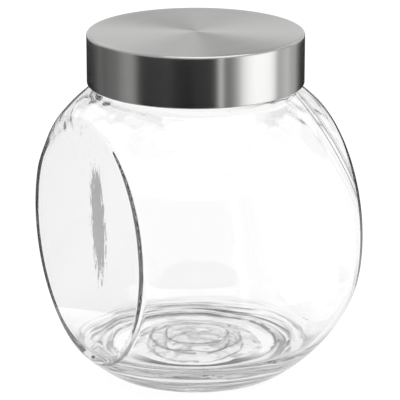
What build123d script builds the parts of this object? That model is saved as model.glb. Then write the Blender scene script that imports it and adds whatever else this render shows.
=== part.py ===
import os
from math import cos, pi, radians, sin, sqrt

from build123d import *

# A wide-mouth glass storage jar with a screw lid, in millimetres.
# It stands on z = 0 with its axis on z, and its two flat sides face +x and -x.

# Body of the jar: a ball with two flat sides and a flat base
body_radius = 85.75
flat_side_depth = 25.75  # how far each flat side is cut into the ball
base_depth = 12.35  # how far the base is cut into the ball
glass_wall = 3.6
flat_edge_round_outside = 3.0
flat_edge_round_inside = 3.0
shoulder_inset = 9.0  # the cavity curves in this much earlier above the ball's middle
heel_round = 12.0
bearing_ring_width = 8.0

# Base of the jar
base_thickness = 12.0  # glass over the bearing ring
floor_radius = 41.0  # where the floor turns up into the wall
floor_crown = 4.5
push_up_height = 3.5
push_up_steps = (23.0, 16.0)  # radii of the two pressed rings under the base
push_up_step_height = 0.8
push_up_step_slope = 0.8

# Neck of the jar
neck_radius = 48.2
neck_wall = 3.6
neck_height = 21.5  # straight neck, from the shoulder blend to the rim
shoulder_blend = 2.0
rim_round_outside = 1.5
rim_round_inside = 1.2
bead_height = 3.0
bead_depth = 1.4
bead_above_shoulder = 0.2

# Screw thread: rounded ridges on the glass, lugs in the lid
thread_starts = 4
thread_lead = 20.0
ridge_turn = 100.0
ridge_height = 1.9
ridge_root_width = 2.6
ridge_crest_width = 1.2
ridge_below_rim = 14.4  # middle of a ridge's low end, below the rim
lug_turn = 40.0
lug_side_slope = 0.4  # how much a lug narrows on each side, from root to crest
lug_ahead = 5.0  # how far a lug has passed its ridge's low end, in degrees
lug_neck_clearance = 0.7
thread_side_clearance = 0.6  # ridge crest to the wall of the insert
thread_play = 0.3  # along z, above and below a lug
end_taper_turn = 9.0  # a ridge or lug fades out over this turn
root_overlap = 0.6  # how deep a ridge or lug is rooted in its wall

# Seal
seal_thickness = 1.5
seal_width = 6.9
seal_edge_clearance = 0.3

# Threaded insert of the lid
insert_wall = 1.6
insert_top = 1.5
rib_height = 1.2
rib_width = 0.9

# Steel shell of the lid
sheet = 0.5
lid_height = 25.2
lid_corner_round = 1.5
hem_gap = 0.6  # between the wall and the rolled-in edge
hem_leg = 1.0
shell_clearance = 0.2

# Worked out from the sizes above
ball_centre = body_radius - base_depth
flat_side = body_radius - flat_side_depth
cavity_radius = body_radius - glass_wall
cavity_flat = flat_side - glass_wall
mouth_radius = neck_radius - neck_wall
blend_centre = neck_radius + shoulder_blend
shoulder = ball_centre + sqrt((body_radius + shoulder_blend) ** 2 - blend_centre ** 2)
rim = shoulder + neck_height
bead_middle = shoulder + bead_above_shoulder + bead_height / 2

ridge_crest_radius = neck_radius + ridge_height
thread_pitch = thread_lead / thread_starts
rise_per_degree = thread_lead / 360.0
lug_root_width = thread_pitch - ridge_root_width - 2 * thread_play
lug_crest_width = lug_root_width - 2 * lug_side_slope
ridge_foot = rim - ridge_below_rim

seal_top = rim + seal_thickness
insert_inner_radius = ridge_crest_radius + thread_side_clearance
insert_outer_radius = insert_inner_radius + insert_wall
insert_roof = seal_top + insert_top
seal_outer_radius = insert_inner_radius - seal_edge_clearance
seal_inner_radius = seal_outer_radius - seal_width
rib_outer_radius = seal_inner_radius - seal_edge_clearance
shell_inner_radius = insert_outer_radius + shell_clearance
shell_outer_radius = shell_inner_radius + sheet
lid_top = insert_roof + sheet
lid_bottom = lid_top - lid_height
hem_outer_round = sheet + hem_gap / 2
hem_inner_round = hem_gap / 2
hem_top = lid_bottom + hem_outer_round + hem_leg
insert_bottom = hem_top + shell_clearance

# The bearing ring starts where the round heel leaves the ground, and the floor's round meets
# the wall of the cavity, both without a corner.
bearing_radius = sqrt((body_radius - heel_round) ** 2 - (ball_centre - heel_round) ** 2)
push_up_radius = bearing_radius - bearing_ring_width
floor_to_centre = ball_centre - base_thickness
floor_round = (cavity_radius ** 2 - floor_to_centre ** 2 - floor_radius ** 2) / (
    2 * (cavity_radius - floor_to_centre)
)


def arc_about(centre, start, end):
    """The shorter arc from start to end, on the circle about centre."""
    radius = (Vector(*start) - Vector(*centre)).length
    middle = ((Vector(*start) + Vector(*end)) / 2 - Vector(*centre)).normalized() * radius
    return ThreePointArc(start, Vector(*centre) + middle, end)


def point_on_ball(radius, towards):
    """The point at radius from the ball's centre, on the line to towards, as (radius, height)."""
    direction = (Vector(*towards) - Vector(0, ball_centre)).normalized() * radius
    return (direction.X, ball_centre + direction.Y)


def turned(lines):
    """The solid that a closed outline of (radius, height) lines makes about z."""
    return revolve(Plane.YZ * make_face(lines), axis=Axis.Z)


def between_flats(solid, half_width):
    """The part of a solid between x = -half_width and x = +half_width."""
    slab = Pos(0, 0, ball_centre) * Box(2 * half_width, 4 * body_radius, 4 * body_radius)
    return solid & slab


def round_flat_edges(solid, half_width, radius):
    """Rounds the edges round the two flat sides at x = -half_width and x = +half_width."""
    edges = solid.edges()
    near = edges.filter_by_position(Axis.X, -half_width - 0.01, -half_width + 0.01)
    far = edges.filter_by_position(Axis.X, half_width - 0.01, half_width + 0.01)
    return fillet(near + far, radius)


def helical_bar(root_radius, crest_radius, root_width, crest_width, turn, foot, start_angle):
    """A tapered bar along the thread's helix, rising from the height foot at start_angle."""
    outward = 1 if crest_radius > root_radius else -1
    rooted_radius = root_radius - outward * root_overlap
    count = 2 * round(turn / end_taper_turn)
    sections = []
    for index in range(count + 1):
        along = turn * index / count
        fade = min(along, turn - along, end_taper_turn) / end_taper_turn
        fullness = 0.2 + 0.8 * sin(fade * pi / 2)
        crest = root_radius + (crest_radius - root_radius) * fullness
        half_root = root_width / 2 * (0.3 + 0.7 * fullness)
        half_crest = crest_width / 2 * (0.3 + 0.7 * fullness)
        outline = Polyline(
            (rooted_radius, -half_root),
            (root_radius, -half_root),
            (crest, -half_crest),
            (crest, half_crest),
            (root_radius, half_root),
            (rooted_radius, half_root),
            close=True,
        )
        angle = radians(start_angle + along)
        plane = Plane(
            origin=(0, 0, foot + along * rise_per_degree),
            x_dir=(cos(angle), sin(angle), 0),
            z_dir=(sin(angle), -cos(angle), 0),
        )
        sections.append(plane * make_face(outline))
    return loft(sections, ruled=True)


def round_the_neck(bar):
    """One copy of a bar for each start of the thread."""
    return [Rot(0, 0, 360 * start / thread_starts) * bar for start in range(thread_starts)]


def push_up_line(radius):
    """Height of the shallow dome under the base, without its pressed rings."""
    return push_up_height * (1 - (radius / push_up_radius) ** 2)


def glass_outside():
    """The jar as if it were solid glass, without its thread."""
    heel = (bearing_radius, heel_round)
    heel_start = (bearing_radius, 0)
    heel_end = point_on_ball(body_radius, heel)
    blend = (blend_centre, shoulder)
    blend_start = point_on_ball(body_radius, blend)
    blend_end = (neck_radius, shoulder)
    bead_low = (neck_radius, bead_middle - bead_height / 2)
    bead_crest = (neck_radius + bead_depth, bead_middle)
    bead_high = (neck_radius, bead_middle + bead_height / 2)

    underside = [(push_up_radius, 0)]
    raised = 0
    for step_radius in push_up_steps:
        underside.append((step_radius, push_up_line(step_radius) + raised))
        raised += push_up_step_height
        inner_radius = step_radius - push_up_step_slope
        underside.append((inner_radius, push_up_line(inner_radius) + raised))
    underside.append((0, push_up_height + raised))

    lines = [
        Line((push_up_radius, 0), heel_start),
        arc_about(heel, heel_start, heel_end),
        arc_about((0, ball_centre), heel_end, blend_start),
        arc_about(blend, blend_start, blend_end),
        Line(blend_end, bead_low),
        ThreePointArc(bead_low, bead_crest, bead_high),
        Polyline(bead_high, (neck_radius, rim), (0, rim), underside[-1]),
        Polyline(*underside),
    ]
    solid = between_flats(turned(lines), flat_side)
    return round_flat_edges(solid, flat_side, flat_edge_round_outside)


def glass_inside():
    """The space inside the jar, up through the mouth."""
    corner = (floor_radius, base_thickness + floor_round)
    corner_start = (floor_radius, base_thickness)
    corner_end = point_on_ball(cavity_radius, corner)
    equator = (cavity_radius, ball_centre)
    upper = (shoulder_inset, ball_centre)
    upper_radius = cavity_radius - shoulder_inset
    blend_radius = shoulder_blend + neck_wall
    blend_rise = sqrt((upper_radius + blend_radius) ** 2 - (blend_centre - shoulder_inset) ** 2)
    blend = (blend_centre, ball_centre + blend_rise)
    blend_share = upper_radius / (upper_radius + blend_radius)
    blend_start = (
        shoulder_inset + (blend_centre - shoulder_inset) * blend_share,
        ball_centre + blend_rise * blend_share,
    )
    blend_end = (mouth_radius, blend[1])
    crown = (0, base_thickness + floor_crown)
    above = rim + neck_wall
    lines = [
        Spline(crown, corner_start, tangents=[(1, 0), (1, 0)]),
        arc_about(corner, corner_start, corner_end),
        arc_about((0, ball_centre), corner_end, equator),
        arc_about(upper, equator, blend_start),
        arc_about(blend, blend_start, blend_end),
        Polyline(blend_end, (mouth_radius, above), (0, above), crown),
    ]
    solid = between_flats(turned(lines), cavity_flat)
    return round_flat_edges(solid, cavity_flat, flat_edge_round_inside)


def make_glass_jar():
    """One piece of glass: body, base, neck, transfer bead, thread and rounded rim."""
    jar = glass_outside() - glass_inside()
    rim_edges = jar.edges().filter_by_position(Axis.Z, rim - 0.01, rim + 0.01).sort_by(SortBy.LENGTH)
    jar = fillet(rim_edges[0], rim_round_inside)
    rim_edges = jar.edges().filter_by_position(Axis.Z, rim - 0.01, rim + 0.01).sort_by(SortBy.LENGTH)
    jar = fillet(rim_edges[-1], rim_round_outside)
    ridge = helical_bar(
        neck_radius,
        ridge_crest_radius,
        ridge_root_width,
        ridge_crest_width,
        ridge_turn,
        ridge_foot,
        0,
    )
    for bar in round_the_neck(ridge):
        jar = jar + bar
    return jar


def make_lid_shell():
    """Drawn steel cap: flat top, rounded corner, plain wall and an edge rolled inward."""
    inner_corner = lid_corner_round - sheet
    corner = (shell_outer_radius - lid_corner_round, lid_top - lid_corner_round)
    hem = (shell_outer_radius - hem_outer_round, lid_bottom + hem_outer_round)
    leg_outer = hem[0] - hem_inner_round
    leg_inner = leg_outer - sheet
    lines = [
        Line((0, insert_roof), (0, lid_top)),
        Line((0, lid_top), (corner[0], lid_top)),
        arc_about(corner, (corner[0], lid_top), (shell_outer_radius, corner[1])),
        Line((shell_outer_radius, corner[1]), (shell_outer_radius, hem[1])),
        ThreePointArc((shell_outer_radius, hem[1]), (hem[0], lid_bottom), (leg_inner, hem[1])),
        Polyline((leg_inner, hem[1]), (leg_inner, hem_top), (leg_outer, hem_top), (leg_outer, hem[1])),
        ThreePointArc((leg_outer, hem[1]), (hem[0], lid_bottom + sheet), (shell_inner_radius, hem[1])),
        Line((shell_inner_radius, hem[1]), (shell_inner_radius, corner[1])),
        arc_about(corner, (shell_inner_radius, corner[1]), (corner[0], corner[1] + inner_corner)),
        Line((corner[0], corner[1] + inner_corner), (0, insert_roof)),
    ]
    return turned(lines)


def make_thread_insert():
    """Moulded inner cap: flat roof, wall, rib inside the seal, and the thread lugs."""
    chamfer_size = lid_corner_round - sheet
    outline = Polyline(
        (0, seal_top),
        (rib_outer_radius - rib_width, seal_top),
        (rib_outer_radius - rib_width, seal_top - rib_height),
        (rib_outer_radius, seal_top - rib_height),
        (rib_outer_radius, seal_top),
        (insert_inner_radius, seal_top),
        (insert_inner_radius, insert_bottom),
        (insert_outer_radius, insert_bottom),
        (insert_outer_radius, insert_roof - chamfer_size),
        (insert_outer_radius - chamfer_size, insert_roof),
        (0, insert_roof),
        close=True,
    )
    insert = turned([outline])
    lug = helical_bar(
        insert_inner_radius,
        neck_radius + lug_neck_clearance,
        lug_root_width,
        lug_crest_width,
        lug_turn,
        ridge_foot + lug_ahead * rise_per_degree - thread_pitch / 2,
        lug_ahead,
    )
    for bar in round_the_neck(lug):
        insert = insert + bar
    return insert


def make_seal_ring():
    """Flat soft ring that lies between the rim of the glass and the insert."""
    outline = Polyline(
        (seal_inner_radius, rim),
        (seal_outer_radius, rim),
        (seal_outer_radius, seal_top),
        (seal_inner_radius, seal_top),
        close=True,
    )
    return turned([outline])


nodes = {
    "glass_jar": make_glass_jar(),
    "lid_shell": make_lid_shell(),
    "thread_insert": make_thread_insert(),
    "seal_ring": make_seal_ring(),
}

os.makedirs("parts", exist_ok=True)
for name, shape in nodes.items():
    shape.label = name
    export_step(shape, f"parts/{name}.step")
    size = shape.bounding_box().size
    print(f"{name}: {size.X:.1f} x {size.Y:.1f} x {size.Z:.1f} mm, {shape.volume / 1000:.1f} cm3")

cavity_volume = (glass_inside().volume - pi * mouth_radius ** 2 * neck_wall) / 1e6
print(f"lid turn that lifts the lid off: {(rim - lid_bottom) / rise_per_degree:.0f} degrees")
print(f"holds to the brim: {cavity_volume:.2f} litres")
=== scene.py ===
import math

import bmesh
import bpy
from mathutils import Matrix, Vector, noise


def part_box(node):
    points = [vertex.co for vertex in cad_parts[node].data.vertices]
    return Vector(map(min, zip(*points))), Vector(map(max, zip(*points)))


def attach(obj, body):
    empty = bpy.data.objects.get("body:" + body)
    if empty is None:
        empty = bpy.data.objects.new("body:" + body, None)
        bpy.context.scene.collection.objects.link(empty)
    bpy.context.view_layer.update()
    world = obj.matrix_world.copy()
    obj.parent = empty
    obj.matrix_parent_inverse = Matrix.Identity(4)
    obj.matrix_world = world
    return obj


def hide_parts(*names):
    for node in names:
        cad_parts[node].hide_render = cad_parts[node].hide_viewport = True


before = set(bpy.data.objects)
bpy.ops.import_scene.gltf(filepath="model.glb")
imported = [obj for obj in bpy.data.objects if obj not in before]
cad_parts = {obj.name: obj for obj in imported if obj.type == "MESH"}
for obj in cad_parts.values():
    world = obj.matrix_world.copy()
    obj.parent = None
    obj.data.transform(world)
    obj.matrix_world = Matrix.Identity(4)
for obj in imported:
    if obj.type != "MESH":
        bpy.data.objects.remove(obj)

# Glass storage jar with a brushed steel screw lid. Sizes in the dictionaries are millimetres.
mm = 0.001
scene = bpy.context.scene
scene.view_settings.view_transform = "Standard"
scene.cycles.max_bounces = 64  # light runs a long way round inside thick glass
scene.cycles.transmission_bounces = 64
scene.cycles.glossy_bounces = 64
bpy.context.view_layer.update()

view = {
    "azimuth": -26.78,
    "elevation": 16.77,
    "distance": 1327.4,
    "aimHeight": 85.0,
    "sideways": 2.1,
    "lens": 242.2,
    "sensor": 36.0,
}
azimuth = math.radians(view["azimuth"])
elevation = math.radians(view["elevation"])
toCamera = Vector((math.sin(azimuth), -math.cos(azimuth), 0))  # level, from the jar
toRight = Vector((math.cos(azimuth), math.sin(azimuth), 0))
lineOfSight = toCamera * math.cos(elevation) + Vector((0, 0, math.sin(elevation)))
aim = Vector((0, 0, view["aimHeight"])) + toRight * view["sideways"]
cameraData = bpy.data.cameras.new("camera")
cameraData.sensor_width = view["sensor"]
cameraData.lens = view["lens"]
camera = bpy.data.objects.new("camera", cameraData)
camera.location = (aim + lineOfSight * view["distance"]) * mm
camera.rotation_euler = lineOfSight.to_track_quat("Z", "Y").to_euler()
scene.collection.objects.link(camera)
scene.camera = camera
print("camera placed")


def nodeBox(name):
    low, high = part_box(name)
    return low / mm, high / mm


def hexToLinear(code):
    channels = [int(code[i:i + 2], 16) / 255 for i in (1, 3, 5)]
    return [c / 12.92 if c <= 0.04045 else ((c + 0.055) / 1.055) ** 2.4 for c in channels] + [1]


def newMaterial(name):
    material = bpy.data.materials.new(name)
    material.use_nodes = True
    material.node_tree.nodes.clear()
    return material


def addNode(material, kind, inputs=None, **settings):
    node = material.node_tree.nodes.new(kind)
    for name, value in settings.items():
        setattr(node, name, value)
    for socket, value in (inputs or {}).items():
        if isinstance(value, bpy.types.NodeSocket):
            material.node_tree.links.new(value, node.inputs[socket])
        else:
            node.inputs[socket].default_value = value
    return node


def setRamp(node, stops):
    ramp = node.color_ramp
    while len(ramp.elements) < len(stops):
        ramp.elements.new(0.5)
    for element, (place, grey) in zip(ramp.elements, stops):
        element.position = place
        element.color = (grey, grey, grey, 1)


def newObject(name, mesh, material):
    piece = bpy.data.objects.new(name, mesh)
    scene.collection.objects.link(piece)
    mesh.materials.append(material)
    return piece


def smoothStep(low, high, value):
    t = min(max((value - low) / (high - low), 0), 1)
    return t * t * (3 - 2 * t)


def arcPoints(centre, start, end, step):
    startAngle = math.atan2(start[1] - centre[1], start[0] - centre[0])
    endAngle = math.atan2(end[1] - centre[1], end[0] - centre[0])
    turn = (endAngle - startAngle + math.pi) % (2 * math.pi) - math.pi  # the shorter way round
    radius = math.dist(centre, start)
    count = max(3, round(abs(turn) * radius / step))
    angles = [startAngle + turn * i / count for i in range(1, count + 1)]
    return [(centre[0] + radius * math.cos(a), centre[1] + radius * math.sin(a)) for a in angles]


def linePoints(start, end, step):
    count = max(1, round(math.dist(start, end) / step))
    return [
        (start[0] + (end[0] - start[0]) * i / count, start[1] + (end[1] - start[1]) * i / count)
        for i in range(1, count + 1)
    ]


def latheMesh(outline, columns, shape=None):
    # outline is a list of (radius, height); shape(index, radius, height, angle) may change a radius
    bm = bmesh.new()
    rows = []
    closed = outline[0] == outline[-1]
    if closed:
        outline = outline[:-1]
    for index, (radius, height) in enumerate(outline):
        if radius < 1e-6:
            rows.append([bm.verts.new((0, 0, height))])
            continue
        row = []
        for column in range(columns):
            angle = 2 * math.pi * column / columns
            r = radius if shape is None else shape(index, radius, height, angle)
            row.append(bm.verts.new((r * math.cos(angle), r * math.sin(angle), height)))
        rows.append(row)
    for lower, upper in zip(rows, rows[1:] + ([rows[0]] if closed else [])):
        for column in range(columns):
            after = (column + 1) % columns
            if len(lower) == 1 and len(upper) == 1:
                break
            if len(lower) == 1:
                corners = (lower[0], upper[after], upper[column])
            elif len(upper) == 1:
                corners = (lower[column], lower[after], upper[0])
            else:
                corners = (lower[column], lower[after], upper[after], upper[column])
            bm.faces.new(corners)
    return bm


def finishMesh(bm, name):
    bmesh.ops.recalc_face_normals(bm, faces=bm.faces)
    bmesh.ops.scale(bm, vec=(mm, mm, mm), verts=bm.verts)
    for face in bm.faces:
        face.smooth = True
    mesh = bpy.data.meshes.new(name)
    bm.to_mesh(mesh)
    bm.free()
    return mesh


def makePiece(name, mesh, material, body, node):
    piece = newObject(name, mesh, material)
    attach(piece, body)
    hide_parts(node)
    print(name, "made:", len(mesh.polygons), "faces")


jarHigh = nodeBox("glass_jar")[1]
jar = {
    "baseDepth": 12.35,
    "wall": 3.6,
    "shoulderInset": 9.0,  # extra glass under the neck
    "heelRound": 12.0,
    "bearingRing": 8.0,
    "baseThickness": 12.0,
    "floorRadius": 41.0,
    "floorCrown": 4.5,
    "pushUp": 3.5,
    "pushUpSteps": (23.0, 16.0),
    "stepHeight": 1.1,
    "floorGroove": 0.6,  # round the floor, where the blown glass met the thick base
    "neckRadius": 48.2,
    "neckHeight": 21.5,
    "shoulderBlend": 2.0,
    "rimRound": 1.4,
    "beadHeight": 3.0,
    "beadDepth": 1.4,
    "edgeSoftness": 1.25,  # of the flat sides' edges
    "edgeSoftnessAbove": 5.5,  # the same near the shoulder, where the glass was hotter
    "columns": 320,
    "spacing": 1.6,
}
# how unevenly the glass was blown
blown = {
    "thinSide": (0.35, 0.8),  # how squarely a place has to face -X for the shoulder to be thinner there
    "thinHeights": (2.0, -16.0),  # from the foot of the neck
    "thinShare": 0.9,
    "thinLeft": 0.3,  # how far inside the even cavity the thinnest place stays
    "bodyHeights": (-1.0, -9.0),  # from the foot of the neck, where the body's unevenness begins
    "edgeMelts": (44.0, 58.0),  # heights over the ball's middle where the -X side's edge grows soft
    "edgeMeltsTilt": 0.4,  # and how much sooner towards +Y
    "farEdgeMelts": (-20.0, 20.0),  # Y where the +X side's edge grows soft
    "swell": 0.16,  # how far the inside wanders
    "swellSize": 22.0,
    "shoulderRipple": 0.35,
    "shoulderRippleHeights": (30.0, 58.0),  # over the ball's middle
    "shoulderRippleSize": (7.0, 7.0, 5.0),
    "heelRipple": 0.25,
    "heelRippleHeights": (22.0, 14.0),
    "heelRippleRadii": (38.0, 50.0),
    "heelRippleSize": (16.0, 16.0, 1.6),
    "chillRing": 0.12,
    "chillHeights": (18.0, 9.0),
    "chillFoot": 1.5,
    "chillRadii": (38.0, 42.0),
    "chillRingSize": (30.0, 30.0, 1.3),
    "baseWobble": 0.35,
    "baseWobbleRadii": (45.0, 34.0),
    "baseWobbleTop": 20.0,
    "pushUpWobble": 0.08,  # share of the radius
    "pushUpWobbleRadii": (33.0, 27.0),
    "wobbleSize": 13.0,
    "fineWobble": 0.3,  # share of the wobble
    "fineWobbleSize": 5.0,
}
thread = {
    "starts": 4,
    "lead": 20.0,
    "turn": 100.0,
    "height": 1.9,
    "width": 2.6,
    "belowRim": 14.4,
    "fade": 12.0,  # degrees
}
ballRadius = jarHigh.y
flatSide = jarHigh.x
rim = jarHigh.z
ballCentre = ballRadius - jar["baseDepth"]
cavityRadius = ballRadius - jar["wall"]
cavityFlat = flatSide - jar["wall"]
mouthRadius = jar["neckRadius"] - jar["wall"]
blendCentre = jar["neckRadius"] + jar["shoulderBlend"]
shoulder = rim - jar["neckHeight"]
heelCentre = math.sqrt((ballRadius - jar["heelRound"]) ** 2 - (ballCentre - jar["heelRound"]) ** 2)


def towardsBall(radius, point):
    direction = Vector((point[0], point[1] - ballCentre)).normalized() * radius
    return (direction.x, ballCentre + direction.y)


def jarOutside():
    step = jar["spacing"]
    pushUpRadius = heelCentre - jar["bearingRing"]
    outside = []
    radius = 0
    while radius < pushUpRadius:
        height = jar["pushUp"] * (1 - (radius / pushUpRadius) ** 2)
        for stepRadius in jar["pushUpSteps"]:
            height += jar["stepHeight"] * (1 - smoothStep(stepRadius - 0.8, stepRadius, radius))
        outside.append((radius, height))
        near = min(abs(radius - s) for s in jar["pushUpSteps"])
        radius += 0.25 if near < 1.6 else 1.2
    outside.append((pushUpRadius, 0))
    outside += linePoints((pushUpRadius, 0), (heelCentre - 2, 0), step)
    outside += linePoints((heelCentre - 2, 0), (heelCentre, 0), 0.3)
    heel = (heelCentre, jar["heelRound"])
    heelEnd = towardsBall(ballRadius, heel)
    outside += arcPoints(heel, (heelCentre, 0), heelEnd, step / 2)
    blend = (blendCentre, shoulder)
    blendStart = towardsBall(ballRadius, blend)
    outside += arcPoints((0, ballCentre), heelEnd, blendStart, step)
    outside += arcPoints(blend, blendStart, (jar["neckRadius"], shoulder), step / 3)
    beadMiddle = shoulder + 0.2 + jar["beadHeight"] / 2
    neckTop = (jar["neckRadius"], rim - jar["rimRound"])
    count = round((neckTop[1] - shoulder) / 0.45)
    for i in range(1, count + 1):
        height = shoulder + (neckTop[1] - shoulder) * i / count
        t = (height - beadMiddle) / (jar["beadHeight"] / 2)
        bead = jar["beadDepth"] * math.sqrt(max(0, 1 - t * t))
        outside.append((jar["neckRadius"] + bead, height))
    rimStart = neckTop[0] - jar["rimRound"]
    outside += arcPoints((rimStart, neckTop[1]), neckTop, (rimStart, rim), 0.35)
    return outside


def jarInside():
    step = jar["spacing"]
    rimEnd = (mouthRadius + jar["rimRound"], rim)
    mouthTop = (mouthRadius, rim - jar["rimRound"])
    upper = (jar["shoulderInset"], ballCentre)
    upperRadius = cavityRadius - upper[0]
    blendRadius = jar["shoulderBlend"] + jar["wall"]
    rise = math.sqrt((upperRadius + blendRadius) ** 2 - (blendCentre - upper[0]) ** 2)
    blend = (blendCentre, ballCentre + rise)
    share = upperRadius / (upperRadius + blendRadius)
    blendEnd = (upper[0] + (blendCentre - upper[0]) * share, ballCentre + rise * share)
    toCentre = ballCentre - jar["baseThickness"]
    squares = cavityRadius ** 2 - toCentre ** 2 - jar["floorRadius"] ** 2
    floorRound = squares / (2 * (cavityRadius - toCentre))
    corner = (jar["floorRadius"], jar["baseThickness"] + floorRound)
    cornerEnd = towardsBall(cavityRadius, corner)
    equator = (cavityRadius, ballCentre)

    inside = [rimEnd]
    inside += arcPoints((rimEnd[0], mouthTop[1]), rimEnd, mouthTop, 0.35)
    inside += linePoints(mouthTop, (mouthRadius, blend[1]), step)
    inside += arcPoints(blend, (mouthRadius, blend[1]), blendEnd, step / 2)
    inside += arcPoints(upper, blendEnd, equator, step)
    inside += arcPoints((0, ballCentre), equator, cornerEnd, step)
    inside += arcPoints(corner, cornerEnd, (jar["floorRadius"], jar["baseThickness"]), step / 2)
    rings = 72
    for i in range(1, rings + 1):
        radius = jar["floorRadius"] * (1 - i / rings)
        lift = jar["floorCrown"] * (1 - smoothStep(0, jar["floorRadius"], radius))
        lift -= jar["floorGroove"] * math.exp(-(jar["floorRadius"] - 1.6 - radius) ** 2)
        inside.append((radius, jar["baseThickness"] + lift))
    return inside


def threadHeight(angle, height):
    best = 0
    for start in range(thread["starts"]):
        along = (math.degrees(angle) - 360 * start / thread["starts"]) % 360
        if along > thread["turn"]:
            continue
        middle = rim - thread["belowRim"] + along * thread["lead"] / 360
        across = abs(height - middle) / (thread["width"] / 2)
        fade = smoothStep(0, thread["fade"], min(along, thread["turn"] - along))
        best = max(best, thread["height"] * fade * (1 - smoothStep(0.35, 1.15, across)))
    return best


def softLimit(value, limit, softness):
    overlap = max(softness - abs(value - limit), 0) / softness
    return min(value, limit) - overlap * overlap * softness / 4


def ripple(co, size, lift=0.0):
    return noise.noise(Vector((co.x / size[0], co.y / size[1], co.z / size[2] + lift)))


def levelLength(co):
    return Vector((co.x, co.y)).length


def awayFromMiddle(co):
    return Vector((co.x, co.y, co.z - ballCentre))


def thinShoulder(co):
    # on the side that was blown first, the shoulder is thinner
    thin = smoothStep(*blown["thinSide"], -co.x / levelLength(co))
    thin *= smoothStep(*blown["thinHeights"], co.z - shoulder)
    offset = awayFromMiddle(co)
    thinnest = cavityRadius - blown["thinLeft"]
    target = offset.length + (thinnest - offset.length) * blown["thinShare"] * thin
    offset *= target / offset.length
    co.x = offset.x
    co.y = offset.y
    co.z = ballCentre + offset.z


def flattenSide(co, limit):
    # the flat sides bend into the ball more softly where the glass was hotter
    if co.x > 0:
        hot = smoothStep(*blown["farEdgeMelts"], co.y)
    else:
        hot = smoothStep(*blown["edgeMelts"], co.z - ballCentre + blown["edgeMeltsTilt"] * co.y)
    softness = jar["edgeSoftness"] + (jar["edgeSoftnessAbove"] - jar["edgeSoftness"]) * hot
    co.x = math.copysign(softLimit(abs(co.x), limit, softness), co.x)


def swellInside(co, body):
    out = awayFromMiddle(co).normalized()
    swell = noise.noise(co / blown["swellSize"]) * blown["swell"]
    high = smoothStep(*blown["shoulderRippleHeights"], co.z - ballCentre)
    swell += ripple(co, blown["shoulderRippleSize"]) * blown["shoulderRipple"] * high
    low = smoothStep(*blown["heelRippleHeights"], co.z)
    low *= smoothStep(*blown["heelRippleRadii"], levelLength(co))
    swell += ripple(co, blown["heelRippleSize"]) * blown["heelRipple"] * low
    co += out * (swell * body)


def chillHeel(co, level):
    # fine rings where the glass chilled against the bottom of the mould
    heel = smoothStep(*blown["chillHeights"], co.z) * smoothStep(*blown["chillRadii"], level)
    heel *= smoothStep(0, blown["chillFoot"], co.z)
    ring = ripple(co, blown["chillRingSize"], 4)
    co -= awayFromMiddle(co).normalized() * (blown["chillRing"] * heel * (0.5 + 0.5 * ring))


def wobbleBase(co, level, inner):
    # the base set unevenly between its two moulds
    coarse, fine = blown["wobbleSize"], blown["fineWobbleSize"]
    wobble = noise.noise(Vector((co.x / coarse, co.y / coarse, 2.0)))
    wobble += blown["fineWobble"] * noise.noise(Vector((co.x / fine, co.y / fine, 6.0)))
    if inner:
        co.z += wobble * blown["baseWobble"] * smoothStep(*blown["baseWobbleRadii"], level)
    elif level > 1:
        scale = 1 + wobble * blown["pushUpWobble"] * smoothStep(*blown["pushUpWobbleRadii"], level)
        co.x *= scale
        co.y *= scale


def makeJarMesh():
    outside = jarOutside()
    inside = jarInside()
    neckStart = len(outside)
    neckBottom = shoulder + 0.2 + jar["beadHeight"]

    def onNeck(index, radius, height, angle):
        if index < neckStart and neckBottom < height < rim - jar["rimRound"]:
            return radius + threadHeight(angle, height)
        return radius

    bm = latheMesh(outside + inside, jar["columns"], onNeck)
    isInside = bm.verts.layers.float.new("inside")
    bm.verts.ensure_lookup_table()
    count = 0
    for index, (radius, height) in enumerate(outside + inside):
        size = 1 if radius < 1e-6 else jar["columns"]
        for i in range(count, count + size):
            bm.verts[i][isInside] = float(index >= neckStart)
        count += size
    # extra rows of points where the flat sides bend into the ball
    for limit in (flatSide, cavityFlat):
        for side in (-1, 1):
            for i in (-3, -2, -1, 0, 1, 2, 3):
                cut = side * (limit + jar["edgeSoftness"] * i / 3)
                everything = bm.verts[:] + bm.edges[:] + bm.faces[:]
                bmesh.ops.bisect_plane(
                    bm, geom=everything, dist=0.01, plane_co=(cut, 0, 0), plane_no=(1, 0, 0)
                )
    for vertex in bm.verts:
        co = vertex.co
        inner = vertex[isInside] > 0.5
        body = smoothStep(*blown["bodyHeights"], co.z - shoulder)
        if inner and co.z > ballCentre:
            thinShoulder(co)
        if body > 0:
            flattenSide(co, cavityFlat if inner else flatSide)
            if inner:
                swellInside(co, body)
        level = levelLength(co)
        if not inner:
            chillHeel(co, level)
        if level < blown["baseWobbleRadii"][0] and co.z < blown["baseWobbleTop"]:
            wobbleBase(co, level, inner)
    bm.verts.layers.float.remove(isInside)
    return finishMesh(bm, "glass")


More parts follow.
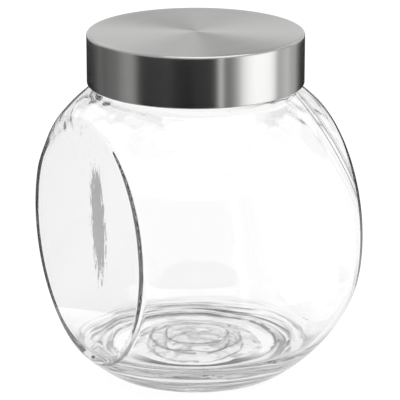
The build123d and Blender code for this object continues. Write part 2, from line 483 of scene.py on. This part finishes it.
# Shade painted into the glass's colour: dark rings, lines and patches that stand for the light bent away by
# the glass's steps, edges and ripples. A tone is the share of the light that gets through.
paintedShade = {
    "wander": 4.0,  # how far the rings in the base wander
    "wanderSize": 18.0,
    "ringSpan": 50.0,
    "rings": [
        (0, 1.0), (15.2, 1.0), (15.7, 0.2), (16.1, 0.2), (16.8, 0.92), (22.2, 0.95), (22.7, 0.3),
        (23.2, 0.3), (23.9, 1.0), (38.0, 1.0), (38.9, 0.8), (39.4, 0.12), (40.1, 0.1), (40.6, 0.8),
        (45.0, 1.0),
    ],  # radius and tone
    "baseTop": (17.5, 19.0),  # heights where the traces of the base end
    "shadeBlotSize": 9.0,
    "shadeBlotTone": 0.5,
    "shadeBlotEnd": (26.0, 34.0),  # radii where the painted grey blots end
    "shadeArc": (37.4, 1.5, 2.3, 0.02),  # radius, half widths of its core and fringe, tone
    "shadeArcSide": -26.78,  # degrees round from -Y: the camera's side
    "shadeArcEnds": (0.5, 0.85),  # cosines of the turns from there where it is gone and where it is full
    "heelTop": 13.0,
    "heelFade": 7.0,
    "heelInside": (40.0, 43.0),  # radii where the heel's lines begin
    "heelLength": 26.0,  # of the fine lines round the heel
    "heelSpacing": 0.8,
    "heelShadeTone": 0.08,
    "patch": (-12.5, 85.0, 9.5, 33.0),  # middle y and z, half width and half height
    "patchLean": 0.09,
    "patchRipple": (10.0, 1 / 0.55, 1 / 0.14),  # size of its ripples along x, y and z
    "patchShadeTone": 0.4,
    "waveSlope": 0.43,  # of the planes in which the shoulder's waves lie
    "waveWander": 1.2,
    "waveSpan": (60.0, 75.0),
    "waves": [
        (60.0, 1.0), (65.2, 1.0), (65.5, 0.3), (65.9, 0.3), (66.2, 1.0), (67.6, 1.0), (68.4, 0.5),
        (69.0, 0.4), (69.6, 0.95), (70.4, 0.6), (71.0, 1.0),
    ],  # distance along X at the height of the ball's middle, and tone
    "waveBack": (-30.0, -22.0),  # Y where the waves end
    "waveFoot": (8.0, 24.0),  # heights over the ball's middle where they begin
    "edgeInset": 1.0,
    "edgeWidth": (0.35, 0.7),  # half widths of its core and fringe
    "edgeBack": (-14.0, -4.0),  # Y where the edge line ends
    "edgeTop": (34.0, 48.0),  # heights where it ends
    "edgeShadeTone": 0.45,
}


def placesInGlass(material):
    place = addNode(material, "ShaderNodeTexCoord")
    inMm = addNode(material, "ShaderNodeVectorMath", {
        0: place.outputs["Object"], "Scale": 1 / mm,
    }, operation="SCALE")
    apart = addNode(material, "ShaderNodeSeparateXYZ", {"Vector": inMm.outputs["Vector"]})
    x, y, z = (apart.outputs[axis] for axis in "XYZ")
    level = addNode(material, "ShaderNodeCombineXYZ", {"X": x, "Y": y})
    radius = addNode(material, "ShaderNodeVectorMath", {0: level.outputs["Vector"]}, operation="LENGTH")
    cloud = addNode(material, "ShaderNodeTexNoise", {
        "Vector": inMm.outputs["Vector"], "Scale": 1 / paintedShade["shadeBlotSize"], "Detail": 2.0,
    })
    return {
        "point": inMm.outputs["Vector"],
        "x": x,
        "y": y,
        "z": z,
        "level": level.outputs["Vector"],
        "radius": radius.outputs["Value"],
        "cloud": cloud.outputs["Fac"],
    }


def baseShadeRings(material, at):
    # painted shade: dark rings and grey blots in the base, standing for the light that its steps and uneven
    # glass bend away
    wander = addNode(material, "ShaderNodeTexNoise", {
        "Vector": at["level"], "Scale": 1 / paintedShade["wanderSize"], "Detail": 3.0, "Roughness": 0.65,
    })
    wandered = addNode(material, "ShaderNodeMath", {
        0: wander.outputs["Fac"], 1: paintedShade["wander"], 2: at["radius"],
    }, operation="MULTIPLY_ADD")
    span = paintedShade["ringSpan"]
    share = addNode(material, "ShaderNodeMapRange", {
        "Value": wandered.outputs["Value"],
        "From Min": paintedShade["wander"] / 2,
        "From Max": paintedShade["wander"] / 2 + span,
    })
    rings = addNode(material, "ShaderNodeValToRGB", {"Fac": share.outputs["Result"]})
    setRamp(rings, [(radius / span, tone) for radius, tone in paintedShade["rings"]])
    # rings stand out more in some places than in others
    fading = addNode(material, "ShaderNodeMapRange", {
        "Value": at["cloud"], "From Min": 0.34, "From Max": 0.46, "To Min": 0.75, "To Max": 0.1,
    })
    faded = addNode(material, "ShaderNodeMix", {
        "Factor": fading.outputs["Result"], "A": rings.outputs["Color"], "B": (1, 1, 1, 1),
    }, data_type="RGBA")

    shadeBlot = addNode(material, "ShaderNodeMapRange", {
        "Value": at["cloud"],
        "From Min": 0.55,
        "From Max": 0.7,
        "To Min": 1.0,
        "To Max": paintedShade["shadeBlotTone"],
    })
    shadeBlotStart, shadeBlotEnd = paintedShade["shadeBlotEnd"]
    offShadeBlots = addNode(material, "ShaderNodeMapRange", {
        "Value": at["radius"], "From Min": shadeBlotStart, "From Max": shadeBlotEnd,
    })
    shadeBlots = addNode(material, "ShaderNodeMix", {
        "Factor": offShadeBlots.outputs["Result"], "A": shadeBlot.outputs["Result"], "B": 1.0,
    })
    base = addNode(material, "ShaderNodeMath", {
        0: faded.outputs["Result"], 1: shadeBlots.outputs["Result"],
    }, operation="MULTIPLY")
    baseAndShadeArc = addNode(material, "ShaderNodeMath", {
        0: base.outputs["Value"], 1: frontShadeArc(material, at, wandered.outputs["Value"]),
    }, operation="MULTIPLY")
    traceEnd, plain = paintedShade["baseTop"]
    aboveBase = addNode(material, "ShaderNodeMapRange", {
        "Value": at["z"], "From Min": traceEnd, "From Max": plain,
    })
    tone = addNode(material, "ShaderNodeMix", {
        "Factor": aboveBase.outputs["Result"], "A": baseAndShadeArc.outputs["Value"], "B": 1.0,
    })
    return tone.outputs["Result"]


def frontShadeArc(material, at, wandered):
    # painted shade: a dark arc round the floor's edge on the side that faces the camera
    radius, core, fringe, tone = paintedShade["shadeArc"]
    turn = math.radians(paintedShade["shadeArcSide"])
    direction = addNode(material, "ShaderNodeVectorMath", {0: at["level"]}, operation="NORMALIZE")
    towardsShadeArc = addNode(material, "ShaderNodeVectorMath", {
        0: direction.outputs["Vector"], 1: (math.sin(turn), -math.cos(turn), 0),
    }, operation="DOT_PRODUCT")
    gone, full = paintedShade["shadeArcEnds"]
    offShadeArc = addNode(material, "ShaderNodeMapRange", {
        "Value": towardsShadeArc.outputs["Value"],
        "From Min": gone,
        "From Max": full,
        "To Min": 1.0,
        "To Max": 0.0,
    })
    fromShadeArc = addNode(material, "ShaderNodeMath", {
        0: wandered, 1: radius + paintedShade["wander"] / 2,
    }, operation="SUBTRACT")
    distance = addNode(material, "ShaderNodeMath", {0: fromShadeArc.outputs["Value"]}, operation="ABSOLUTE")
    line = addNode(material, "ShaderNodeMapRange", {
        "Value": distance.outputs["Value"],
        "From Min": core,
        "From Max": fringe,
        "To Min": tone,
        "To Max": 1.0,
    })
    shadeArc = addNode(material, "ShaderNodeMix", {
        "Factor": offShadeArc.outputs["Result"], "A": line.outputs["Result"], "B": 1.0,
    })
    return shadeArc.outputs["Result"]


def heelShadeLines(material, at):
    # painted shade: dark fine lines round the heel, standing for light bent by its chill ripples
    length, spacing = paintedShade["heelLength"], paintedShade["heelSpacing"]
    stretched = addNode(material, "ShaderNodeVectorMath", {
        0: at["point"], 1: (1 / length, 1 / length, 1 / spacing),
    }, operation="MULTIPLY")
    lines = addNode(material, "ShaderNodeTexNoise", {
        "Vector": stretched.outputs["Vector"], "Scale": 0.5, "Detail": 3.0, "Roughness": 0.6,
    })
    heelLines = addNode(material, "ShaderNodeMapRange", {
        "Value": lines.outputs["Fac"],
        "From Min": 0.46,
        "From Max": 0.6,
        "To Min": 1.0,
        "To Max": paintedShade["heelShadeTone"],
    })
    aboveHeel = addNode(material, "ShaderNodeMapRange", {
        "Value": at["z"], "From Min": paintedShade["heelTop"] - paintedShade["heelFade"], "From Max": paintedShade["heelTop"],
    })
    inside, begun = paintedShade["heelInside"]
    insideHeel = addNode(material, "ShaderNodeMapRange", {
        "Value": at["radius"], "From Min": inside, "From Max": begun, "To Min": 1.0, "To Max": 0.0,
    })
    offHeel = addNode(material, "ShaderNodeMath", {
        0: aboveHeel.outputs["Result"], 1: insideHeel.outputs["Result"],
    }, operation="MAXIMUM")
    tone = addNode(material, "ShaderNodeMix", {
        "Factor": offHeel.outputs["Value"], "A": heelLines.outputs["Result"], "B": 1.0,
    })
    return tone.outputs["Result"]


def patchShade(material, at):
    # painted shade: a darker rippled patch on the inside of the -X side
    middleY, middleZ, halfWide, halfHigh = paintedShade["patch"]
    up = addNode(material, "ShaderNodeMath", {0: at["z"], 1: middleZ}, operation="SUBTRACT")
    lean = addNode(material, "ShaderNodeMath", {
        0: up.outputs["Value"], 1: -paintedShade["patchLean"] / halfWide, 2: -middleY / halfWide,
    }, operation="MULTIPLY_ADD")
    across = addNode(material, "ShaderNodeMath", {
        0: at["y"], 1: 1 / halfWide, 2: lean.outputs["Value"],
    }, operation="MULTIPLY_ADD")
    along = addNode(material, "ShaderNodeMath", {0: up.outputs["Value"], 1: halfHigh}, operation="DIVIDE")
    fromMiddle = addNode(material, "ShaderNodeCombineXYZ", {
        "X": across.outputs["Value"], "Y": along.outputs["Value"],
    })
    distance = addNode(material, "ShaderNodeVectorMath", {
        0: fromMiddle.outputs["Vector"],
    }, operation="LENGTH")
    combed = addNode(material, "ShaderNodeVectorMath", {
        0: at["point"], 1: tuple(1 / size for size in paintedShade["patchRipple"]),
    }, operation="MULTIPLY")
    fibres = addNode(material, "ShaderNodeTexNoise", {
        "Vector": combed.outputs["Vector"], "Scale": 1.0, "Detail": 4.0, "Roughness": 0.7,
    })
    ragged = addNode(material, "ShaderNodeMath", {
        0: fibres.outputs["Fac"], 1: 1.6, 2: distance.outputs["Value"],
    }, operation="MULTIPLY_ADD")
    patch = addNode(material, "ShaderNodeMapRange", {
        "Value": ragged.outputs["Value"],
        "From Min": 1.55,
        "From Max": 1.68,
        "To Min": paintedShade["patchShadeTone"],
        "To Max": 1.0,
    })
    offFlat = addNode(material, "ShaderNodeMapRange", {
        "Value": at["x"], "From Min": -cavityFlat + 1, "From Max": -cavityFlat + 2,
    })
    onSkin = addNode(material, "ShaderNodeMapRange", {
        "Value": at["x"],
        "From Min": -flatSide + 0.6,
        "From Max": -flatSide + 1.6,
        "To Min": 1.0,
        "To Max": 0.0,
    })
    elsewhere = addNode(material, "ShaderNodeMath", {
        0: offFlat.outputs["Result"], 1: onSkin.outputs["Result"],
    }, operation="MAXIMUM")
    tone = addNode(material, "ShaderNodeMix", {
        "Factor": elsewhere.outputs["Value"], "A": patch.outputs["Result"], "B": 1.0,
    })
    return tone.outputs["Result"]


def shoulderShadeWaves(material, at):
    # painted shade: dark wave lines on the skin of the +X shoulder, where its waviness bends the light away
    slope = paintedShade["waveSlope"]
    rise = addNode(material, "ShaderNodeMath", {
        0: at["z"], 1: slope, 2: -slope * ballCentre,
    }, operation="MULTIPLY_ADD")
    plane = addNode(material, "ShaderNodeMath", {0: rise.outputs["Value"], 1: at["x"]}, operation="ADD")
    wander = paintedShade["waveWander"]
    wandered = addNode(material, "ShaderNodeMath", {
        0: at["cloud"], 1: wander, 2: plane.outputs["Value"],
    }, operation="MULTIPLY_ADD")
    first, last = paintedShade["waveSpan"]
    share = addNode(material, "ShaderNodeMapRange", {
        "Value": wandered.outputs["Value"], "From Min": first + wander / 2, "From Max": last + wander / 2,
    })
    waves = addNode(material, "ShaderNodeValToRGB", {"Fac": share.outputs["Result"]})
    setRamp(waves, [((place - first) / (last - first), tone) for place, tone in paintedShade["waves"]])
    fromMiddle = addNode(material, "ShaderNodeVectorMath", {
        0: at["point"], 1: (0, 0, ballCentre),
    }, operation="DISTANCE")
    underSkin = addNode(material, "ShaderNodeMapRange", {
        "Value": fromMiddle.outputs["Value"],
        "From Min": ballRadius - 1.2,
        "From Max": ballRadius - 0.4,
        "To Min": 1.0,
        "To Max": 0.0,
    })
    backStart, backEnd = paintedShade["waveBack"]
    atBack = addNode(material, "ShaderNodeMapRange", {
        "Value": at["y"], "From Min": backStart, "From Max": backEnd,
    })
    footStart, footEnd = paintedShade["waveFoot"]
    below = addNode(material, "ShaderNodeMapRange", {
        "Value": at["z"],
        "From Min": ballCentre + footStart,
        "From Max": ballCentre + footEnd,
        "To Min": 1.0,
        "To Max": 0.0,
    })
    offSide = addNode(material, "ShaderNodeMath", {
        0: underSkin.outputs["Result"], 1: atBack.outputs["Result"],
    }, operation="MAXIMUM")
    offWaves = addNode(material, "ShaderNodeMath", {
        0: offSide.outputs["Value"], 1: below.outputs["Result"],
    }, operation="MAXIMUM")
    tone = addNode(material, "ShaderNodeMix", {
        "Factor": offWaves.outputs["Value"], "A": waves.outputs["Color"], "B": (1, 1, 1, 1),
    }, data_type="RGBA")
    return tone.outputs["Result"]


def edgeShadeLine(material, at):
    # painted shade: a grey line at the foot of the -X side's edge, where the thick wall bends the light
    # away
    fromEdge = addNode(material, "ShaderNodeMath", {
        0: at["x"], 1: flatSide - paintedShade["edgeInset"],
    }, operation="ADD")
    distance = addNode(material, "ShaderNodeMath", {0: fromEdge.outputs["Value"]}, operation="ABSOLUTE")
    core, fringe = paintedShade["edgeWidth"]
    line = addNode(material, "ShaderNodeMapRange", {
        "Value": distance.outputs["Value"],
        "From Min": core,
        "From Max": fringe,
        "To Min": paintedShade["edgeShadeTone"],
        "To Max": 1.0,
    })
    backStart, backEnd = paintedShade["edgeBack"]
    pastBack = addNode(material, "ShaderNodeMapRange", {
        "Value": at["y"], "From Min": backStart, "From Max": backEnd,
    })
    topStart, topEnd = paintedShade["edgeTop"]
    above = addNode(material, "ShaderNodeMapRange", {
        "Value": at["z"], "From Min": topStart, "From Max": topEnd,
    })
    offFoot = addNode(material, "ShaderNodeMath", {
        0: pastBack.outputs["Result"], 1: above.outputs["Result"],
    }, operation="MAXIMUM")
    tone = addNode(material, "ShaderNodeMix", {
        "Factor": offFoot.outputs["Value"], "A": line.outputs["Result"], "B": 1.0,
    })
    return tone.outputs["Result"]


def paintedShadeTone(material):
    # all the painted shade in the glass, multiplied into one tone
    at = placesInGlass(material)
    tone = baseShadeRings(material, at)
    for paintShade in (heelShadeLines, patchShade, shoulderShadeWaves, edgeShadeLine):
        both = addNode(material, "ShaderNodeMath", {
            0: tone, 1: paintShade(material, at),
        }, operation="MULTIPLY")
        tone = both.outputs["Value"]
    # the shader takes the root of its colour for light that passes through
    squared = addNode(material, "ShaderNodeMath", {0: tone, 1: 2.0}, operation="POWER")
    return squared.outputs["Value"]


def makeGlass():
    # Soda-lime glass, pressed and blown: clear, a little green in depth. Its dark thin edges are painted
    # shade: the colour darkens where the surface is seen edge-on, and the painted shade lines above darken
    # it further
    material = newMaterial("sodaLimeGlassPressedAndBlown")
    grazing = addNode(material, "ShaderNodeLayerWeight", {"Blend": 0.5})
    # painted shade: the colour darkens towards grazing angles, drawing dark outlines
    edge = addNode(material, "ShaderNodeValToRGB", {"Fac": grazing.outputs["Facing"]})
    setRamp(edge, [(0.0, 0.99), (0.7, 0.99), (0.9, 0.35)])
    tone = addNode(material, "ShaderNodeMix", {
        "Factor": 1.0, "A": edge.outputs["Color"], "B": paintedShadeTone(material),
    }, data_type="RGBA", blend_type="MULTIPLY")
    shader = addNode(material, "ShaderNodeBsdfPrincipled", {
        "Base Color": tone.outputs["Result"],
        "Roughness": 0.0,
        "IOR": 1.52,
        "Transmission Weight": 1.0,
    })
    depth = addNode(material, "ShaderNodeVolumeAbsorption", {
        "Color": hexToLinear("#5f6663"), "Density": 6.0,
    })
    addNode(material, "ShaderNodeOutputMaterial", {
        "Surface": shader.outputs["BSDF"], "Volume": depth.outputs["Volume"],
    })
    return material


makePiece("jar_glass", makeJarMesh(), makeGlass(), "jar", "glass_jar")


shellLow, shellHigh = nodeBox("lid_shell")
shell = {
    "sheet": 0.5,
    "cornerRound": 1.5,
    "hemGap": 0.6,
    "hemLeg": 1.0,
    "grooveSpacing": 0.45,  # real grooves are about 0.05 mm apart: drawn coarser so that they show
    "grooveDepth": 0.02,
    "columns": 288,
}


def shellOutline():
    top, bottom, radius = shellHigh.z, shellLow.z, shellHigh.x
    sheet = shell["sheet"]
    corner = (radius - shell["cornerRound"], top - shell["cornerRound"])
    inner = shell["cornerRound"] - sheet
    hemRadius = sheet + shell["hemGap"] / 2
    hem = (radius - hemRadius, bottom + hemRadius)
    wallInside = radius - sheet
    legOutside = wallInside - shell["hemGap"]
    legInside = legOutside - sheet
    legTop = hem[1] + shell["hemLeg"]
    outline = [(0, top)]
    outline += linePoints((0, top), (corner[0], top), 4)
    outline += arcPoints(corner, (corner[0], top), (radius, corner[1]), 0.3)
    outline += linePoints((radius, corner[1]), (radius, hem[1]), 3)
    outline += arcPoints(hem, (radius, hem[1]), (hem[0], bottom), 0.25)
    outline += arcPoints(hem, (hem[0], bottom), (legInside, hem[1]), 0.25)
    outline += [(legInside, legTop), (legOutside, legTop), (legOutside, hem[1])]
    outline += arcPoints(hem, (legOutside, hem[1]), (hem[0], bottom + sheet), 0.2)
    outline += arcPoints(hem, (hem[0], bottom + sheet), (wallInside, hem[1]), 0.2)
    outline += linePoints((wallInside, hem[1]), (wallInside, corner[1]), 3)
    outline += arcPoints(corner, (wallInside, corner[1]), (corner[0], corner[1] + inner), 0.3)
    outline += linePoints((corner[0], top - sheet), (0, top - sheet), 4)
    return outline


def makeSteel():
    # Stainless steel brushed round and round: light smears across the grooves, not along them
    material = newMaterial("stainlessSteelBrushedInCircles")
    tangent = addNode(material, "ShaderNodeTangent", direction_type="RADIAL", axis="Z")
    place = addNode(material, "ShaderNodeTexCoord")
    apart = addNode(material, "ShaderNodeSeparateXYZ", {"Vector": place.outputs["Object"]})
    square = addNode(material, "ShaderNodeMath", {
        0: apart.outputs["X"], 1: apart.outputs["X"],
    }, operation="MULTIPLY")
    squares = addNode(material, "ShaderNodeMath", {
        0: apart.outputs["Y"], 1: apart.outputs["Y"], 2: square.outputs["Value"],
    }, operation="MULTIPLY_ADD")
    radius = addNode(material, "ShaderNodeMath", {0: squares.outputs["Value"]}, operation="SQRT")
    rings = addNode(material, "ShaderNodeCombineXYZ", {
        "X": radius.outputs["Value"], "Z": apart.outputs["Z"],
    })
    grooves = addNode(material, "ShaderNodeTexNoise", {
        "Vector": rings.outputs["Vector"],
        "Scale": 1 / (shell["grooveSpacing"] * mm * 2),  # a cell of the noise holds two grooves
        "Detail": 3.0,
        "Roughness": 0.7,
    })
    bump = addNode(material, "ShaderNodeBump", {
        "Height": grooves.outputs["Fac"], "Strength": 0.02, "Distance": shell["grooveDepth"] * mm,
    })
    grain = addNode(material, "ShaderNodeMapRange", {
        "Value": grooves.outputs["Fac"], "From Min": 0.3, "From Max": 0.7, "To Min": 0.235, "To Max": 0.265,
    })
    shader = addNode(material, "ShaderNodeBsdfPrincipled", {
        "Base Color": hexToLinear("#a3a3a2"),
        "Metallic": 1.0,
        "Roughness": grain.outputs["Result"],
        "Anisotropic": 0.92,
        "Anisotropic Rotation": 0.25,
        "Tangent": tangent.outputs["Tangent"],
        "Normal": bump.outputs["Normal"],
    })
    addNode(material, "ShaderNodeOutputMaterial", {"Surface": shader.outputs["BSDF"]})
    return material


shellMesh = finishMesh(latheMesh(shellOutline(), shell["columns"]), "shell")
makePiece("lid_steel_shell", shellMesh, makeSteel(), "lid", "lid_shell")


insertLow, insertHigh = nodeBox("thread_insert")
sealLow, sealHigh = nodeBox("seal_ring")
insert = {
    "wall": 1.6,
    "cornerRound": 1.0,
    "ribHeight": 1.2,
    "ribWidth": 0.9,
    "ribGap": 0.3,
    "edgeRound": 0.3,
    "sealWidth": 6.9,
    "lugTurn": 40.0,
    "lugAhead": 5.0,
    "lugGap": 0.7,  # from the lugs to the neck
    "lugRoot": 1.8,
    "lugCrest": 1.0,
    "lugFade": 9.0,  # degrees
    "grain": 0.3,  # spark-eroded mould finish
    "columns": 360,
    "spacing": 0.15,  # of points round the small edges
}
insertInside = insertHigh.x - insert["wall"]
sealInside = sealHigh.x - insert["sealWidth"]


def insertOutline():
    top, bottom, roof = insertHigh.z, insertLow.z, sealHigh.z
    outer, edge = insertHigh.x, insert["edgeRound"]
    corner, step = insert["cornerRound"], insert["spacing"]
    ribOuter = sealInside - insert["ribGap"]
    ribInner = ribOuter - insert["ribWidth"]
    ribFoot = roof - insert["ribHeight"]
    # middles of the small rounded edges
    ribRoot = (ribInner - edge, roof - edge)
    ribIn = (ribInner + edge, ribFoot + edge)
    ribOut = (ribOuter - edge, ribFoot + edge)
    mouthIn = (insertInside + edge, bottom + edge)
    mouthOut = (outer - edge, bottom + edge)
    outline = [(0, roof)]
    outline += linePoints((0, roof), (ribRoot[0], roof), 6)
    outline += arcPoints(ribRoot, outline[-1], (ribInner, ribRoot[1]), step)
    outline += arcPoints(ribIn, (ribInner, ribIn[1]), (ribIn[0], ribFoot), step)
    outline += arcPoints(ribOut, (ribOut[0], ribFoot), (ribOuter, ribOut[1]), step)
    outline += [(ribOuter, roof)]
    outline += linePoints((ribOuter, roof), (insertInside, roof), 2)
    outline += linePoints((insertInside, roof), (insertInside, mouthIn[1]), 0.4)
    outline += arcPoints(mouthIn, outline[-1], (mouthIn[0], bottom), step)
    outline += arcPoints(mouthOut, (mouthOut[0], bottom), (outer, mouthOut[1]), step)
    outline += linePoints((outer, mouthOut[1]), (outer, top - corner), 3)
    outline += [(outer - corner, top)]
    outline += linePoints((outer - corner, top), (0, top), 6)
    return outline


def lugDepth(angle, height):
    foot = rim - thread["belowRim"] - thread["lead"] / thread["starts"] / 2
    fullDepth = insertInside - jar["neckRadius"] - insert["lugGap"]
    best = 0
    for start in range(thread["starts"]):
        along = (math.degrees(angle) - insert["lugAhead"] - 360 * start / thread["starts"]) % 360
        if along > insert["lugTurn"]:
            continue
        middle = foot + (along + insert["lugAhead"]) * thread["lead"] / 360
        fade = smoothStep(0, insert["lugFade"], min(along, insert["lugTurn"] - along))
        across = abs(height - middle)
        full = 1 - smoothStep(insert["lugCrest"] / 2, insert["lugRoot"] / 2 + 0.25, across)
        best = max(best, fullDepth * fade * full)
    return best


def makePolypropylene():
    # Polypropylene, injection moulded: milky white with a soft sheen
    material = newMaterial("polypropyleneMouldedWhite")
    place = addNode(material, "ShaderNodeTexCoord")
    grain = addNode(material, "ShaderNodeTexNoise", {
        "Vector": place.outputs["Object"], "Scale": 1 / (insert["grain"] * mm), "Detail": 2.0,
    })
    bump = addNode(material, "ShaderNodeBump", {
        "Height": grain.outputs["Fac"], "Strength": 0.15, "Distance": 0.03 * mm,
    })
    shader = addNode(material, "ShaderNodeBsdfPrincipled", {
        "Base Color": hexToLinear("#eeeeea"),
        "Roughness": 0.42,
        "IOR": 1.49,
        "Subsurface Weight": 0.15,
        "Subsurface Radius": (1.0, 0.95, 0.85),
        "Subsurface Scale": 0.8 * mm,
        "Normal": bump.outputs["Normal"],
    })
    addNode(material, "ShaderNodeOutputMaterial", {"Surface": shader.outputs["BSDF"]})
    return material


def lugged(index, radius, height, angle):
    if abs(radius - insertInside) < 1e-6 and height < sealHigh.z - 0.2:
        return radius - lugDepth(angle, height)
    return radius


insertMesh = finishMesh(latheMesh(insertOutline(), insert["columns"], lugged), "insert")
makePiece("lid_thread_insert", insertMesh, makePolypropylene(), "lid", "thread_insert")


seal = {
    "edgeRound": 0.45,
    "columns": 240,
    "spacing": 0.12,
}


def sealOutline():
    bottom, top, outer = sealLow.z, sealHigh.z, sealHigh.x
    edge, step = seal["edgeRound"], seal["spacing"]
    # middles of the rounded edges
    inEdge, outEdge = sealInside + edge, outer - edge
    lowEdge, highEdge = bottom + edge, top - edge
    outline = arcPoints((outEdge, lowEdge), (outEdge, bottom), (outer, lowEdge), step)
    outline += arcPoints((outEdge, highEdge), (outer, highEdge), (outEdge, top), step)
    outline += linePoints(outline[-1], (inEdge, top), 1.5)
    outline += arcPoints((inEdge, highEdge), outline[-1], (sealInside, highEdge), step)
    outline += arcPoints((inEdge, lowEdge), (sealInside, lowEdge), (inEdge, bottom), step)
    outline += linePoints(outline[-1], (outEdge, bottom), 1.5)
    return outline + [outline[0]]


def makeSilicone():
    # Silicone rubber, moulded: cloudy and soft-looking, with a dull skin
    material = newMaterial("siliconeRubberMouldedCloudy")
    shader = addNode(material, "ShaderNodeBsdfPrincipled", {
        "Base Color": hexToLinear("#dfe1df"),
        "Roughness": 0.55,
        "IOR": 1.41,
        "Subsurface Weight": 0.3,
        "Subsurface Radius": (1.0, 1.0, 0.95),
        "Subsurface Scale": 1.0 * mm,
    })
    addNode(material, "ShaderNodeOutputMaterial", {"Surface": shader.outputs["BSDF"]})
    return material


sealMesh = finishMesh(latheMesh(sealOutline(), seal["columns"]), "seal")
makePiece("lid_seal_ring", sealMesh, makeSilicone(), "seal", "seal_ring")


studio = {
    "sweepRadius": 600.0,
    "sweepStart": 140.0,
    "sweepFoot": 1.0,  # height over the floor
    "frontTop": 420.0,
    "backTop": 120.0,
    "frontReach": (125.0, 100.0),  # turns where it rises from the back's top to the front's
    "panelDistance": 1500.0,
    "floorRadius": 3000.0,
    "lampSize": 1600.0,
    "lampPlace": (200.0, -200.0, 1800.0),
    "lampWatts": 12.0,
    # name, from and to around, low and high in degrees, and brightness
    "panels": [
        ("panelDim", (163, 179), 22, 62, 0.35),
        ("panelBrightLeft", (-170, -146), 24, 50, 1.7),
        ("panelBrightRight", (128, 152), 20, 44, 1.6),
        ("panelDimRight", (110, 124), 14, 30, 0.4),
    ],
    # how bright the sweep looks in the steel: angle from the camera, to the right, and brightness
    "sweep": [
        (-180, 0.0), (-160, 0.0), (-134, 0.0), (-126, 0.1), (-115, 0.3), (-108, 0.22), (-100, 0.3),
        (-88, 0.35), (-80, 0.55), (-70, 0.68), (-65, 0.55), (-60, 0.2), (-56, 0.07), (-50, 0.06),
        (-40, 0.07), (-28, 0.08), (-20, 0.03), (-8, 0.0), (0, 0.03), (10, 0.03), (17, 0.05),
        (21, 0.2), (24.5, 1.5), (26.5, 1.3), (29, 0.4), (34, 0.36), (39, 0.65), (44, 1.15), (48, 1.9),
        (54, 2.4), (62, 2.7), (80, 2.6), (87, 2.1), (92, 0.9), (101, 1.1), (108, 1.3), (115, 0.9),
        (124, 0.8), (132, 0.2), (140, 0.0), (165, 0.0), (180, 0.0),
    ],
}


def makeSweep():
    # Curved backdrop that only the steel and the skin of the glass reflect
    bm = bmesh.new()
    glow = bm.verts.layers.float.new("glow")
    columns = []
    for degrees, brightness in studio["sweep"]:
        angle = math.radians(degrees)
        direction = toCamera * math.cos(angle) + toRight * math.sin(angle)
        near = direction * studio["sweepStart"]
        far = direction * studio["sweepRadius"]
        front = smoothStep(*studio["frontReach"], abs(degrees))
        top = studio["backTop"] + (studio["frontTop"] - studio["backTop"]) * front
        spots = ((near, studio["sweepFoot"]), (far, studio["sweepFoot"]), (far, top))
        column = [bm.verts.new((spot.x, spot.y, height)) for spot, height in spots]
        for vertex in column:
            vertex[glow] = brightness
        columns.append(column)
    for left, right in zip(columns, columns[1:]):
        for i in range(2):
            bm.faces.new((left[i], right[i], right[i + 1], left[i + 1]))
    material = newMaterial("sweepOfSoftLight")
    level = addNode(material, "ShaderNodeAttribute", attribute_name="glow")
    light = addNode(material, "ShaderNodeEmission", {
        "Color": (1, 1, 1, 1), "Strength": level.outputs["Fac"],
    })
    addNode(material, "ShaderNodeOutputMaterial", {"Surface": light.outputs["Emission"]})
    sweep = newObject("sweep", finishMesh(bm, "sweep"), material)
    sweep.visible_camera = False
    sweep.visible_diffuse = False
    sweep.visible_shadow = False
    sweep.visible_transmission = False


def makePanels():
    # Soft panels behind and above, which draw the fan of light on the lid's top
    for name, degrees, low, high, brightness in studio["panels"]:
        bm = bmesh.new()
        corners = []
        for turn, lift in ((degrees[0], low), (degrees[1], low), (degrees[1], high), (degrees[0], high)):
            angle = math.radians(turn)
            height = math.radians(lift)
            level = toCamera * math.cos(angle) + toRight * math.sin(angle)
            spot = (level * math.cos(height) + Vector((0, 0, math.sin(height)))) * studio["panelDistance"]
            corners.append(bm.verts.new(spot + Vector((0, 0, shellHigh.z))))
        bm.faces.new(corners)
        material = newMaterial(name)
        light = addNode(material, "ShaderNodeEmission", {"Color": (1, 1, 1, 1), "Strength": brightness})
        addNode(material, "ShaderNodeOutputMaterial", {"Surface": light.outputs["Emission"]})
        panel = newObject(name, finishMesh(bm, name), material)
        panel.visible_camera = False
        panel.visible_diffuse = False
        panel.visible_shadow = False
        panel.visible_transmission = False


def makeFloor():
    bm = bmesh.new()
    bmesh.ops.create_circle(bm, cap_ends=True, segments=96, radius=studio["floorRadius"])
    # Acrylic sheet lit from below, so that what stands on it throws almost no shadow
    material = newMaterial("acrylicSheetLitFromBelow")
    shader = addNode(material, "ShaderNodeBsdfPrincipled", {
        "Base Color": hexToLinear("#5c5c5c"),
        "Roughness": 0.9,
        "Specular IOR Level": 0.1,
        "Emission Color": (1, 1, 1, 1),
        "Emission Strength": 0.95,
    })
    addNode(material, "ShaderNodeOutputMaterial", {"Surface": shader.outputs["BSDF"]})
    newObject("floor", finishMesh(bm, "floor"), material)


def lightStudio():
    world = bpy.data.worlds.new("studio")
    scene.world = world
    world.use_nodes = True
    background = world.node_tree.nodes["Background"]
    background.inputs["Color"].default_value = (1, 1, 1, 1)
    background.inputs["Strength"].default_value = 1.0
    softbox = bpy.data.lights.new("overheadSoftbox", "AREA")
    softbox.shape = "DISK"
    softbox.size = studio["lampSize"] * mm
    softbox.energy = studio["lampWatts"]
    lamp = bpy.data.objects.new("overheadSoftbox", softbox)
    lamp.location = Vector(studio["lampPlace"]) * mm
    scene.collection.objects.link(lamp)


makeSweep()
makePanels()
makeFloor()
lightStudio()
print("studio made")
